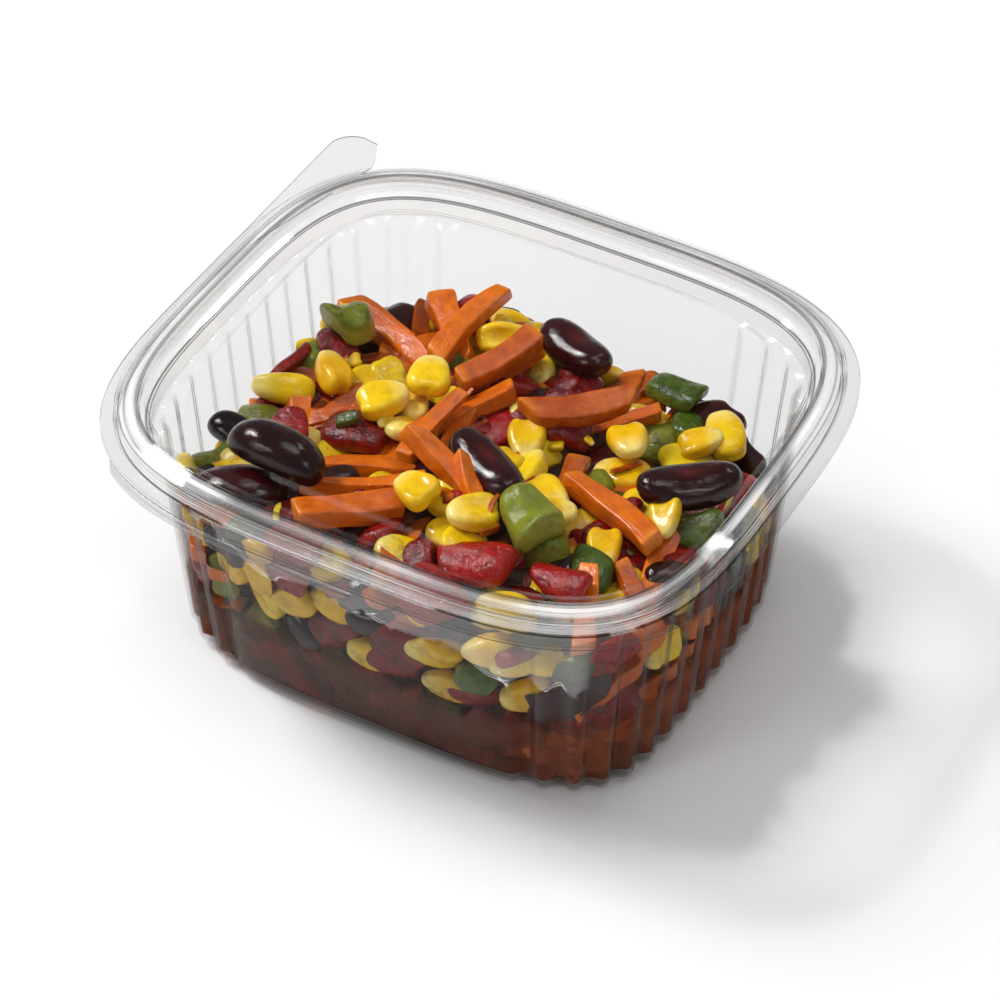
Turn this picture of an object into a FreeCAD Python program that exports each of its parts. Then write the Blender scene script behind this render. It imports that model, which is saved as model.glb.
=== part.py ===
import FreeCAD, Part
import math
import os
import random

# Clear thermoformed deli tub with a hinged snap lid, filled with a bean and corn salad.
# Millimetres, +Z up. The origin is the centre of the tub's underside, X runs along the
# long side, and the lid is hinged on the -Y long side.

# --- sheet and rim ---
sheet = 0.45                  # wall of the tub
lid_sheet = 0.40              # wall of the lid
rim_length = 120.0            # X size over the outer top edge of the rim bead
rim_width = 107.5             # Y size over the same edge
corner_power = 3.6            # superellipse power of the outline, higher is squarer
tub_height = 56.6             # table to the inner top edge of the rim bead
bead_outer_drop = 1.3         # how far the bead's outer top edge lies under the inner one
bead_width = 4.1              # across the top of the bead
bead_outer_wall = 2.9         # height of the bead over the flange
bead_inner_wall = 3.5         # height of the bead over the ledge inside
bead_undercut = 0.35          # snap undercut under the bead's inner edge
bead_rake = 0.25              # slope of the bead's outer wall
flange_reach = 3.4            # flange beyond the bead
edge_round = 0.4              # softening of the formed edges

# --- wall, flutes and base ---
ledge_width = 1.3             # ledge between the bead and the wall
ledge_drop = 0.5
wall_inset_top = 5.2          # wall's outer skin inside the bead edge, at the ledge
plain_band = 5.0              # height of the smooth band over the flutes
shoulder_step = 1.2           # step inwards where the flutes begin
shoulder_height = 1.0
wall_inset_base = 10.0        # wall's outer skin inside the bead edge, at the base
base_round = 2.4              # radius where the wall meets the base
extra_end_draft = 1.6         # extra draft of the two long walls
flute_pitch = 6.7
flute_depth = 1.7
flute_count = 8               # grooves from the middle of a short wall to the label panel
groove_half_width = 3.0

# --- corner tab and hinge strip ---
tab_out = 0.2                 # tab beyond the flange's straightest line, in X
tab_tip_inset = 1.05          # tab's tip inside the flange's widest Y
tab_round = 5.2
tab_root_inset = 10.4         # tab's root inside the flange's widest X
tab_sheet = 0.35
strip_drop = 2.9              # height of the perforated strip at its deep end
strip_sheet = 0.40
strip_start_inset = 11.0      # start of the strip inside the bead's widest X
strip_length = 55.0
strip_gap = 0.03              # perforation gap between the flange edge and the strip
tooth_pitch = 1.8
tooth_depth = 0.55

# --- lid ---
lid_clearance = 0.30          # lid skin to the bead it snaps over
plug_clearance = 0.85         # plug wall inside the bead's inner edge
plug_depth = 2.4              # panel under the top of the bead
plug_lean = 0.35
lid_edge_inset = 0.2          # lid flange inside the tub's flange edge
lid_lift = 0.2                # lid flange over the tub's flange
panel_rib_inset = 7.0         # stiffening step in the lid's panel
panel_rise = 0.9

# --- salad ---
fill_clearance = 0.3          # salad to the tub
crown_drop = 28.1             # top of the packed salad under the top of the bead
crown_y = -8.0
back_fall = 12.5              # fall of the packed salad to the back wall
left_fall = 8.0
right_back_fall = 12.0
layer_depth = 18.0            # loose layer over the packed salad, at most
feature_spare = 6.0           # how far the hand-set pieces may stand over that
grid_pitch_x = 8.0            # spacing of the loose pieces
grid_pitch_y = 8.0
scatter = 1.4
piece_gap = 0.12
cell = 0.5                    # step of the height field that the pieces settle on
ways_tried = 9                # ways that each piece tries to lie before it stays
nudge = 2.6
lean = 14.0
lid_headroom = 1.0

# Loose top layer, looking down. Rows run from the back wall to the hinge side, columns
# from left to right. c corn, o carrot strip, r red pepper, g green pepper, e celery,
# b black bean, k kidney bean, . nothing.
planting = (
    "..orco..og...",
    ".orocoogrgc..",
    ".erccoorogcr.",
    "erg.ccorocec.",
    "crrccorcccrr.",
    "crocoogcorcb.",
    "orcrgokcccroc",
    "bcrrocccoegr.",
    ".gecorcggcrr.",
    "..koocobrcco.",
    "...crckcrcr..",
)
# Pieces set by hand on top of the layer: kind, x, y, turn in degrees
features = (
    ("k", -1.0, 38.5, -38.0),
    ("k", -29.0, -29.0, 20.0),
    ("k", 6.0, -9.0, -8.0),
    ("k", 39.5, 3.0, 30.0),
    ("e", -42.0, 19.0, 35.0),
    ("c", -35.0, 9.5, -30.0),
    ("o", -20.0, 28.0, 62.0),
    ("o", -8.0, 23.0, 84.0),
    ("o", 9.0, 18.0, 20.0),
    ("o", -10.0, -1.0, 75.0),
    ("o", 32.0, -5.0, -42.0),
    ("o", -12.0, -29.0, 32.0),
    ("r", 33.0, -26.0, 15.0),
    ("r", 39.0, 12.0, -20.0),
    ("c", -4.0, -20.0, 10.0),
    ("c", 8.0, -19.0, 40.0),
    ("c", -18.0, 7.0, -60.0),
    ("e", 21.0, -21.0, 10.0),
)

# length, width, thickness of each kind, and its share of size variation
kinds = {
    "c": ("corn_kernels", 10.2, 8.6, 5.0, 0.10),
    "o": ("carrot_strips", 20.0, 4.2, 3.4, 0.16),
    "r": ("red_peppers", 10.5, 8.0, 2.6, 0.18),
    "g": ("green_peppers", 8.6, 6.6, 2.8, 0.15),
    "e": ("celery_chunks", 9.6, 7.4, 5.6, 0.12),
    "b": ("black_beans", 9.6, 6.6, 5.4, 0.08),
    "k": ("kidney_bean", 17.5, 9.6, 7.8, 0.06),
}

# Outlines in the plane, as shares of half the length and half the width
outlines = {
    "c": ((1.0, 0.0), (0.86, 0.62), (0.35, 1.0), (-0.3, 0.86), (-0.86, 0.46), (-1.0, 0.0),
          (-0.86, -0.46), (-0.3, -0.86), (0.35, -1.0), (0.86, -0.62)),
    "o": ((1.0, 0.8), (0.94, 1.0), (-0.94, 1.0), (-1.0, 0.7), (-1.0, -0.8), (-0.96, -1.0),
          (0.96, -1.0), (1.0, -0.8)),
    "r": ((1.0, 0.5), (0.7, 0.9), (-0.2, 1.0), (-0.9, 0.8), (-1.0, -0.3), (-0.6, -1.0),
          (0.4, -0.9), (0.95, -0.5)),
    "g": ((1.0, 0.7), (0.85, 1.0), (-0.8, 0.95), (-1.0, 0.6), (-0.95, -0.75), (-0.7, -1.0),
          (0.8, -1.0), (1.0, -0.7)),
    "e": ((1.0, 0.85), (0.6, 1.0), (-0.6, 1.0), (-1.0, 0.85), (-1.0, -0.55), (-0.5, -1.0),
          (0.5, -1.0), (1.0, -0.55)),
    "b": ((1.0, 0.0), (0.75, 0.68), (0.2, 1.0), (-0.4, 0.94), (-0.87, 0.5), (-1.0, -0.1),
          (-0.7, -0.72), (-0.1, -1.0), (0.5, -0.86), (0.87, -0.5)),
    "k": ((1.0, 0.1), (0.8, 0.72), (0.3, 1.0), (-0.3, 1.0), (-0.8, 0.72), (-1.0, 0.1),
          (-0.85, -0.6), (-0.45, -0.92), (0.0, -0.8), (0.45, -0.92), (0.85, -0.6)),
}
# Height steps and outline shares that round each kind: flat cuts or plump seeds
plump = ((-1.0, 0.45), (-0.55, 0.86), (0.0, 1.0), (0.55, 0.86), (1.0, 0.45))
flat_cut = ((-1.0, 0.9), (-0.6, 1.0), (0.6, 1.0), (1.0, 0.9))
sections = {"c": plump, "b": plump, "k": plump, "o": flat_cut, "r": flat_cut,
            "g": flat_cut, "e": flat_cut}

samples_per_quarter = 112
edges_per_loop = 8
bed_points = 56
bands = ((12.0, 99.0, "back"), (-12.0, 12.0, "middle"), (-99.0, -12.0, "front"))

half_length = rim_length / 2
half_width = rim_width / 2
tab_tip_y = half_width + flange_reach - tab_tip_inset
tab_root_x = tab_root_inset - half_length - flange_reach
strip_start_x = strip_start_inset - half_length
strip_end_x = strip_start_x + strip_length
crown_height = tub_height - crown_drop
bead_outer_z = tub_height - bead_outer_drop
flange_z = bead_outer_z - bead_outer_wall
ledge_z = tub_height - bead_inner_wall
flute_top_z = ledge_z - ledge_drop - plain_band
wall_slope = (wall_inset_base - wall_inset_top - shoulder_step) / (ledge_z - ledge_drop)


def outline_point(angle, half_y):
    """Point and outward normal of the rim outline at a polar angle."""
    c = math.cos(angle)
    s = math.sin(angle)
    power = corner_power
    radius = (abs(c / half_length) ** power + abs(s / half_y) ** power) ** (-1 / power)
    x = radius * c
    y = radius * s
    nx = math.copysign(abs(x / half_length) ** (power - 1) / half_length, x)
    ny = math.copysign(abs(y / half_y) ** (power - 1) / half_y, y)
    size = math.hypot(nx, ny)
    return x, y, nx / size, ny / size


def quarter_angles(count):
    """Angles that step evenly along a quarter of the wall, and the length walked at each."""
    fine = 4000
    inset = -(wall_inset_base + wall_inset_top) / 2
    walked = [0.0]
    last = None
    for i in range(fine + 1):
        x, y, nx, ny = outline_point(i * math.pi / 2 / fine, half_width)
        here = (x + inset * nx, y + inset * ny)
        if last is not None:
            walked.append(walked[-1] + math.dist(here, last))
        last = here
    angles = []
    lengths = []
    k = 0
    for j in range(count + 1):
        target = walked[-1] * j / count
        while k < fine - 1 and walked[k + 1] < target:
            k += 1
        share = (target - walked[k]) / max(walked[k + 1] - walked[k], 1e-9)
        angles.append((k + share) * math.pi / 2 / fine)
        lengths.append(target)
    return angles, lengths


def loop_stations(count):
    """Angle and groove depth share at even steps round the whole wall."""
    angles, lengths = quarter_angles(count)
    stations = []
    for quarter in range(4):
        for j in range(count):
            if quarter % 2 == 0:
                angle = quarter * math.pi / 2 + angles[j]
                length = lengths[j]
            else:
                angle = (quarter + 1) * math.pi / 2 - angles[count - j]
                length = lengths[count - j]
            nearest = min(round(length / flute_pitch), flute_count)
            off = abs(length - nearest * flute_pitch)
            share = max(0.0, 1 - (off / groove_half_width) ** 2) ** 2
            stations.append((angle, share))
    return stations


def loop_points(stations, offset, z, groove):
    """Closed line of points at one height, offset from the rim outline."""
    low = 1 - min(max(z / ledge_z, 0.0), 1.0)
    half_y = half_width - extra_end_draft * low
    points = []
    for angle, share in stations:
        x, y, nx, ny = outline_point(angle, half_y)
        w = offset - groove * share
        points.append(FreeCAD.Vector(x + w * nx, y + w * ny, z))
    return points


def loop_edges(points):
    """Smooth closed line through the points, cut into equal edges."""
    curve = Part.BSplineCurve()
    curve.interpolate(Points=points, PeriodicFlag=True, Parameters=list(range(len(points) + 1)))
    step = len(points) // edges_per_loop
    edges = []
    for k in range(edges_per_loop):
        piece = curve.copy()
        piece.segment(k * step, (k + 1) * step)
        edges.append(piece.toShape())
    return edges


def closed_solid(rings):
    """Solid skinned straight from ring to ring, with flat faces in the first and last ring."""
    faces = [Part.Face(Part.Wire(rings[0])), Part.Face(Part.Wire(rings[-1]))]
    for low, high in zip(rings, rings[1:]):
        for a, b in zip(low, high):
            faces.append(Part.makeRuledSurface(a, b))
    skin = Part.makeCompound(faces)
    skin.sewShape(0.001)
    solid = Part.makeSolid(skin.Shells[0])
    if solid.Volume < 0:
        solid.reverse()
    return solid


def thickened(profile, thickness):
    """The skin's polyline moved sideways by the sheet thickness, with mitred corners."""
    moved = []
    for i, (w, z, groove) in enumerate(profile):
        normals = []
        for a, b in ((i - 1, i), (i, i + 1)):
            if a < 0 or b >= len(profile):
                continue
            dw = profile[b][0] - profile[a][0]
            dz = profile[b][1] - profile[a][1]
            size = math.hypot(dw, dz)
            normals.append((dz / size, -dw / size))
        nw = sum(n[0] for n in normals) / len(normals)
        nz = sum(n[1] for n in normals) / len(normals)
        size = nw * nw + nz * nz
        moved.append((w + thickness * nw / size, z + thickness * nz / size, groove))
    return moved


def formed_sheet(profile, thickness, stations):
    """Solid sheet: one skin from the middle outwards, then the other skin back again."""
    other = thickened(profile, thickness)
    rings = list(profile) + other[::-1]
    return closed_solid([loop_edges(loop_points(stations, w, z, groove))
                         for w, z, groove in rings])


def wall_inset(z):
    """Inset of the wall's inner skin from the rim outline at a height, without the grooves."""
    return wall_inset_base - wall_slope * z + sheet


def tub_profile():
    """Upper and inner skin of the tub, from the floor out to the flange: inset, height, groove."""
    floor_z = sheet
    base_w = -wall_inset(0.0)
    top_w = -(wall_inset_top + sheet)
    shoulder_w = -wall_inset(flute_top_z)
    bead_inner_w = -bead_width
    r = edge_round
    return [
        (base_w - base_round * 2, floor_z, flute_depth * 0.3),
        (base_w - base_round, floor_z, flute_depth * 0.3),
        (base_w - base_round * 0.3, floor_z + base_round * 0.3, flute_depth * 0.8),
        (base_w, floor_z + base_round, flute_depth),
        (shoulder_w, flute_top_z, flute_depth),
        (shoulder_w + shoulder_step, flute_top_z + shoulder_height, 0.0),
        (top_w, ledge_z - ledge_drop - r, 0.0),
        (top_w + r, ledge_z - ledge_drop, 0.0),
        (bead_inner_w + bead_undercut - r, ledge_z, 0.0),
        (bead_inner_w + bead_undercut, ledge_z + r, 0.0),
        (bead_inner_w, tub_height - r, 0.0),
        (bead_inner_w + r, tub_height, 0.0),
        (-r, bead_outer_z + r * 0.3, 0.0),
        (0.0, bead_outer_z - r * 0.5, 0.0),
        (bead_rake, flange_z + r, 0.0),
        (bead_rake + r, flange_z, 0.0),
        (flange_reach, flange_z, 0.0),
    ]


def tab_plate():
    """Thumb tab that squares off the flange's (-X, +Y) corner."""
    root_x = -(half_length + flange_reach)
    out_x = root_x - tab_out
    low_z = flange_z - (sheet + tab_sheet) / 2
    v = FreeCAD.Vector
    start = v(root_x + 1.2, 8.0, low_z)
    outer_start = v(root_x, 8.0, low_z)
    bend = v(out_x, tab_tip_y - tab_round, low_z)
    middle = v(out_x + tab_round * (1 - math.sqrt(0.5)), tab_tip_y - tab_round * (1 - math.sqrt(0.5)),
               low_z)
    tip = v(out_x + tab_round, tab_tip_y, low_z)
    shoulder = v(out_x + tab_round * 1.6, tab_tip_y - 0.5, low_z)
    root = v(tab_root_x, tab_tip_y - tab_round, low_z)
    corner = v(tab_root_x + 0.6, tab_tip_y - tab_round - 2.4, low_z)
    edges = [
        Part.LineSegment(outer_start, bend).toShape(),
        Part.Arc(bend, middle, tip).toShape(),
        Part.LineSegment(tip, shoulder).toShape(),
        Part.LineSegment(shoulder, root).toShape(),
        Part.LineSegment(root, corner).toShape(),
        Part.LineSegment(corner, start).toShape(),
        Part.LineSegment(start, outer_start).toShape(),
    ]
    return Part.Face(Part.Wire(edges)).extrude(v(0, 0, tab_sheet))


def flange_edge_y(x):
    """Y of the flange's outer edge on the hinge side at a given X."""
    low = 0.0
    high = math.pi / 2
    for _ in range(60):
        angle = (low + high) / 2
        px, py, nx, ny = outline_point(angle, half_width)
        if px + flange_reach * nx > abs(x):
            low = angle
        else:
            high = angle
    return -(py + flange_reach * ny)


def hinge_strip():
    """Perforated strip left along the hinge edge, deep at one end and running out to nothing."""
    span = strip_end_x - strip_start_x
    count = int(span / tooth_pitch)
    v = FreeCAD.Vector
    quads = []
    for i in range(2 * count + 1):
        x = strip_start_x + span * i / (2 * count)
        y = flange_edge_y(x) - strip_gap
        top = flange_z - (tooth_depth if i % 2 else 0.0)
        share = 1 - i / (2 * count)
        bottom = flange_z - tooth_depth - 0.5 - (strip_drop - tooth_depth - 0.5) * share ** 0.8
        quads.append((v(x, y, top), v(x, y, bottom), v(x, y - strip_sheet, bottom),
                      v(x, y - strip_sheet, top)))
    wires = [Part.makePolygon(list(quad) + [quad[0]]) for quad in quads]
    return Part.makeLoft(wires, True, True)


def lid_profile():
    """Underside of the lid, from the panel's middle out to its flange edge."""
    c = lid_clearance
    r = edge_round
    inner_w = -bead_width - plug_clearance
    panel_z = tub_height - plug_depth
    lid_flange_z = flange_z + lid_lift
    return [
        (inner_w - plug_lean - panel_rib_inset - panel_rise, panel_z + panel_rise, 0.0),
        (inner_w - plug_lean - panel_rib_inset, panel_z, 0.0),
        (inner_w - plug_lean - r, panel_z, 0.0),
        (inner_w - plug_lean, panel_z + r, 0.0),
        (inner_w, tub_height + c - r, 0.0),
        (inner_w + r, tub_height + c, 0.0),
        (-bead_width + r, tub_height + c, 0.0),
        (-r * 0.5, bead_outer_z + c + r * 0.3, 0.0),
        (c, bead_outer_z + c - r, 0.0),
        (bead_rake + c, lid_flange_z + r, 0.0),
        (bead_rake + c + r, lid_flange_z, 0.0),
        (flange_reach - lid_edge_inset, lid_flange_z, 0.0),
    ]


def bed_top(x, y):
    """Height of the packed salad at a place, under the loose top layer."""
    back = max(0.0, (y - crown_y) / (half_width - 1.5 - crown_y))
    left = max(0.0, -(x + 12.0) / (half_length - 18.0))
    right = max(0.0, (x - 12.0) / (half_length - 22.0))
    turn = 0.3 + 0.7 * max(0.0, min(1.0, (y + 20.0) / 50.0))
    fall = back_fall * back ** 1.6 + left_fall * left ** 2 + right_back_fall * right ** 2 * turn
    return crown_height - fall


def wall_space(angle, z):
    """Point on the inside limit of the salad at a height."""
    low = 1 - min(max(z / ledge_z, 0.0), 1.0)
    x, y, nx, ny = outline_point(angle, half_width - extra_end_draft * low)
    w = -(wall_inset(z) + flute_depth + fill_clearance)
    return x + w * nx, y + w * ny


def salad_bed():
    """Packed salad and dressing: flat underneath, following the wall, crowned on top."""
    bottom_z = sheet + fill_clearance
    angles = [2 * math.pi * k / bed_points for k in range(bed_points)]
    rings = []
    for z, extra in ((bottom_z, base_round), (bottom_z + base_round, 0.0)):
        ring = []
        for angle in angles:
            x, y = wall_space(angle, z)
            size = math.hypot(x, y)
            share = (size - extra) / size
            ring.append(FreeCAD.Vector(x * share, y * share, z))
        rings.append(ring)
    edge = []
    for angle in angles:
        z = crown_height
        for _ in range(20):
            x, y = wall_space(angle, z)
            z = bed_top(x, y)
        edge.append(FreeCAD.Vector(x, y, z))
    rings.append(edge)
    for share in (0.82, 0.62, 0.42, 0.22):
        rings.append([FreeCAD.Vector(p.x * share, p.y * share, bed_top(p.x * share, p.y * share))
                      for p in edge])
    top_z = bed_top(0.0, 0.0)
    rings.append([FreeCAD.Vector(p.x * 0.06, p.y * 0.06, top_z) for p in edge])
    wires = [Part.makePolygon(ring + [ring[0]]) for ring in rings]
    return Part.makeLoft(wires, True, True)


def turned(point, turn, pitch, roll):
    """A point turned by roll about X, pitch about Y, then turn about Z."""
    x, y, z = point
    y, z = y * math.cos(roll) - z * math.sin(roll), y * math.sin(roll) + z * math.cos(roll)
    x, z = x * math.cos(pitch) + z * math.sin(pitch), -x * math.sin(pitch) + z * math.cos(pitch)
    x, y = x * math.cos(turn) - y * math.sin(turn), x * math.sin(turn) + y * math.cos(turn)
    return x, y, z


def piece_rings(kind, size, turn, pitch, roll):
    """Stacked closed outlines of one loose piece about its own centre."""
    length, width, thick = size
    rings = []
    for level, share in sections[kind]:
        rings.append([turned((u * share * length / 2, v * share * width / 2, level * thick / 2),
                             turn, pitch, roll) for u, v in outlines[kind]])
    return rings


def ring_triangles(rings):
    """Triangles of the piece's skin, for settling it."""
    triangles = []
    for low, high in zip(rings, rings[1:]):
        count = len(low)
        for i in range(count):
            j = (i + 1) % count
            triangles.append((low[i], low[j], high[j]))
            triangles.append((low[i], high[j], high[i]))
    for ring in (rings[0], rings[-1]):
        for i in range(1, len(ring) - 1):
            triangles.append((ring[0], ring[i], ring[i + 1]))
    return triangles


def spans(triangles):
    """Lowest and highest Z of the piece over each cell that it covers."""
    found = {}
    for a, b, c in triangles:
        det = (b[0] - a[0]) * (c[1] - a[1]) - (c[0] - a[0]) * (b[1] - a[1])
        xs = [p[0] for p in (a, b, c)]
        ys = [p[1] for p in (a, b, c)]
        for i in range(math.floor(min(xs) / cell), math.ceil(max(xs) / cell) + 1):
            for j in range(math.floor(min(ys) / cell), math.ceil(max(ys) / cell) + 1):
                if abs(det) < 1e-6:
                    continue
                dx = i * cell - a[0]
                dy = j * cell - a[1]
                s = (dx * (c[1] - a[1]) - (c[0] - a[0]) * dy) / det
                t = ((b[0] - a[0]) * dy - dx * (b[1] - a[1])) / det
                if s < -0.02 or t < -0.02 or s + t > 1.02:
                    continue
                z = a[2] + s * (b[2] - a[2]) + t * (c[2] - a[2])
                low, high = found.get((i, j), (z, z))
                found[(i, j)] = (min(low, z), max(high, z))
    return found


def inside_wall(points, z):
    """Whether every point of a piece is clear of the tub's wall."""
    for x, y, dz in points:
        angle = math.atan2(y, x)
        lx, ly = wall_space(angle, z + dz)
        reach = math.hypot(lx, ly)
        bent = math.atan2(ly, lx)
        if math.hypot(x, y) * math.cos(angle - bent) > reach:
            return False
    return True


def rest_height(heap, shape, i0, j0):
    """Lowest Z at which a piece clears everything already under it."""
    z = 0.0
    for (i, j), (low, high) in shape.items():
        for di in (-1, 0, 1):
            for dj in (-1, 0, 1):
                key = (i + i0 + di, j + j0 + dj)
                rest = heap.get(key)
                if rest is None:
                    rest = bed_top(key[0] * cell, key[1] * cell)
                z = max(z, rest + piece_gap - low)
    return z


def try_place(heap, kind, size, x, y, turn, pitch, roll):
    """One way for a piece to lie: its outlines, its covered cells and where they rest."""
    rings = piece_rings(kind, size, math.radians(turn), pitch, roll)
    shape = spans(ring_triangles(rings))
    for _ in range(60):
        i0 = round(x / cell)
        j0 = round(y / cell)
        z = rest_height(heap, shape, i0, j0)
        points = [(px + i0 * cell, py + j0 * cell, pz) for ring in rings for px, py, pz in ring]
        if inside_wall(points, z):
            break
        x *= 0.97
        y *= 0.97
    return z, i0, j0, rings, shape


def settle(heap, kind, x, y, turn, rng, spare):
    """Let one piece find the lowest of a few ways to lie, and add it if the heap has room."""
    name, length, width, thick, spread = kinds[kind]
    grow = 1 + rng.uniform(-spread, spread)
    stretch = 1 + rng.uniform(-spread, spread)
    size = (length * grow * stretch, width * grow / math.sqrt(stretch), thick * grow)
    ways = []
    for _ in range(ways_tried):
        pitch = math.radians(rng.uniform(-lean, lean))
        roll = math.radians(rng.uniform(-lean, lean))
        ways.append(try_place(heap, kind, size, x + rng.uniform(-nudge, nudge),
                              y + rng.uniform(-nudge, nudge), turn + rng.uniform(-25, 25),
                              pitch, roll))
    z, i0, j0, rings, shape = min(ways, key=lambda way: way[0])
    top = z + max(high for low, high in shape.values())
    heap_limit = bed_top(i0 * cell, j0 * cell) + layer_depth + spare
    if top > min(tub_height - plug_depth - lid_headroom, heap_limit):
        return None
    for (i, j), (low, high) in shape.items():
        key = (i + i0, j + j0)
        heap[key] = max(heap.get(key, 0.0), z + high)
    moved = [[FreeCAD.Vector(px + i0 * cell, py + j0 * cell, pz + z) for px, py, pz in ring]
             for ring in rings]
    wires = [Part.makePolygon(ring + [ring[0]]) for ring in moved]
    return Part.makeLoft(wires, True, True)


def band_of(y):
    """Name of the strip of the tub that a place lies in."""
    for low, high, name in bands:
        if low <= y < high:
            return name
    return bands[0][2]


def salad_pieces():
    """All loose pieces of the top layer, keyed by node name."""
    rng = random.Random(7)
    heap = {}
    nodes = {}
    wanted = []
    for row, line in enumerate(planting):
        for column, kind in enumerate(line):
            if kind == ".":
                continue
            x = (column - (len(line) - 1) / 2) * grid_pitch_x + rng.uniform(-scatter, scatter)
            y = ((len(planting) - 1) / 2 - row) * grid_pitch_y + rng.uniform(-scatter, scatter)
            wanted.append((kind, x, y, rng.uniform(0, 360)))
    rng.shuffle(wanted)
    beans = 0
    for order, (kind, x, y, turn) in enumerate(wanted + list(features)):
        spare = feature_spare if order >= len(wanted) else 0.0
        solid = settle(heap, kind, x, y, turn, rng, spare)
        if solid is None:
            continue
        if kind == "k":
            beans += 1
            name = f"{kinds[kind][0]}_{beans}"
        elif kind == "b":
            name = kinds[kind][0]
        else:
            name = f"{kinds[kind][0]}_{band_of(y)}"
        nodes.setdefault(name, []).append(solid)
    return nodes


os.makedirs("parts", exist_ok=True)
stations = loop_stations(samples_per_quarter)
tub = formed_sheet(tub_profile(), sheet, stations).fuse(tab_plate())
tub.exportStep("parts/tub.step")
lid = formed_sheet(lid_profile(), -lid_sheet, stations)
lid.exportStep("parts/lid.step")
hinge_strip().exportStep("parts/hinge_strip.step")
salad_bed().exportStep("parts/salad_bed.step")
for name, solids in salad_pieces().items():
    Part.makeCompound(solids).exportStep(f"parts/{name}.step")
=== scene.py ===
import bpy
import math
import random
import numpy as np
from mathutils import Matrix, Vector
from mathutils.bvhtree import BVHTree


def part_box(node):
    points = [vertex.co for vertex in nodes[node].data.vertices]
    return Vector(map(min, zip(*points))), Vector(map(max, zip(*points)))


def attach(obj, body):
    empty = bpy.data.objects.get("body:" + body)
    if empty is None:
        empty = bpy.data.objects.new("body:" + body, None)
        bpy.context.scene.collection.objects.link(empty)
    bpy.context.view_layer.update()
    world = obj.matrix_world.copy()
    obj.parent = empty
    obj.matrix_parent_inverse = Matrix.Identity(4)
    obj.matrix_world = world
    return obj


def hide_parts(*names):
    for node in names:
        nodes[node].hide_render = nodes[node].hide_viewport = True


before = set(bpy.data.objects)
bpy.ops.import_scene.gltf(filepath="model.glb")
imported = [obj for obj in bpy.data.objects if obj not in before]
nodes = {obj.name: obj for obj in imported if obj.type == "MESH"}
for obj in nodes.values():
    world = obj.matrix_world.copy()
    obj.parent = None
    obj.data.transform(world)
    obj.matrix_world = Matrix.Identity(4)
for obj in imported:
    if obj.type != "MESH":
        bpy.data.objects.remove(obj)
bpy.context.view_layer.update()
body = "tub_body"
rng = random.Random(11)
mm = 0.001
print("frame loaded", len(nodes), "nodes")


class Tap:
    # wraps one socket, so that sums on it become Math nodes
    def __init__(self, tree, socket=None):
        self.tree = tree
        self.socket = socket

    def add(self, kind, settings=None, links=None, out=0):
        node = self.tree.nodes.new(kind)
        for key, value in (settings or {}).items():
            setattr(node, key, value)
        for key, value in (links or {}).items():
            if isinstance(value, Tap):
                self.tree.links.new(value.socket, node.inputs[key])
            else:
                node.inputs[key].default_value = value
        return Tap(self.tree, node.outputs[out]) if len(node.outputs) else node

    def maths(self, operation, first, second=0.0, clamp=False):
        return self.add("ShaderNodeMath", {"operation": operation, "use_clamp": clamp},
                        {0: first, 1: second})

    def __add__(self, other):
        return self.maths("ADD", self, other)

    def __radd__(self, other):
        return self.maths("ADD", other, self)

    def __sub__(self, other):
        return self.maths("SUBTRACT", self, other)

    def __rsub__(self, other):
        return self.maths("SUBTRACT", other, self)

    def __mul__(self, other):
        return self.maths("MULTIPLY", self, other)

    def __rmul__(self, other):
        return self.maths("MULTIPLY", other, self)

    def __pow__(self, other):
        return self.maths("POWER", self, other)

    def clamped(self):
        return self.maths("ADD", self, 0.0, True)

    def over(self, low, high):
        # 0 below low, 1 above high, smooth between
        return self.add("ShaderNodeMapRange", {"interpolation_type": "SMOOTHSTEP"},
                        {0: self, 1: low, 2: high, 3: 0.0, 4: 1.0})


def newMaterial(name):
    material = bpy.data.materials.new(name)
    material.use_nodes = True
    material.node_tree.nodes.clear()
    return material, Tap(material.node_tree)


def colourMix(tap, factor, first, second):
    return tap.add("ShaderNodeMix", {"data_type": "RGBA"}, {0: factor, 6: first, 7: second}, out=2)


def noise(tap, coords, scale, detail=3.0, roughness=0.55):
    return tap.add("ShaderNodeTexNoise", {}, {"Vector": coords, "Scale": scale,
                                              "Detail": detail, "Roughness": roughness})


def attribute(tap, name):
    return tap.add("ShaderNodeAttribute", {"attribute_name": name}, out=2)


def bump(tap, height, distance, strength=1.0):
    return tap.add("ShaderNodeBump", {}, {"Height": height, "Distance": distance,
                                          "Strength": strength})


def rgb(red, green, blue):
    # screen colour 0-255 to linear
    return tuple(((c / 255 + 0.055) / 1.055) ** 2.4 if c > 10 else c / 255 / 12.92
                 for c in (red, green, blue)) + (1.0,)


def finishShader(tap, shader):
    tap.add("ShaderNodeOutputMaterial", {}, {"Surface": shader})


# brown of the marinade, also the colour of the painted shade on pieces lying low in the heap
marinadeAndShade = rgb(58, 20, 7)
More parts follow.
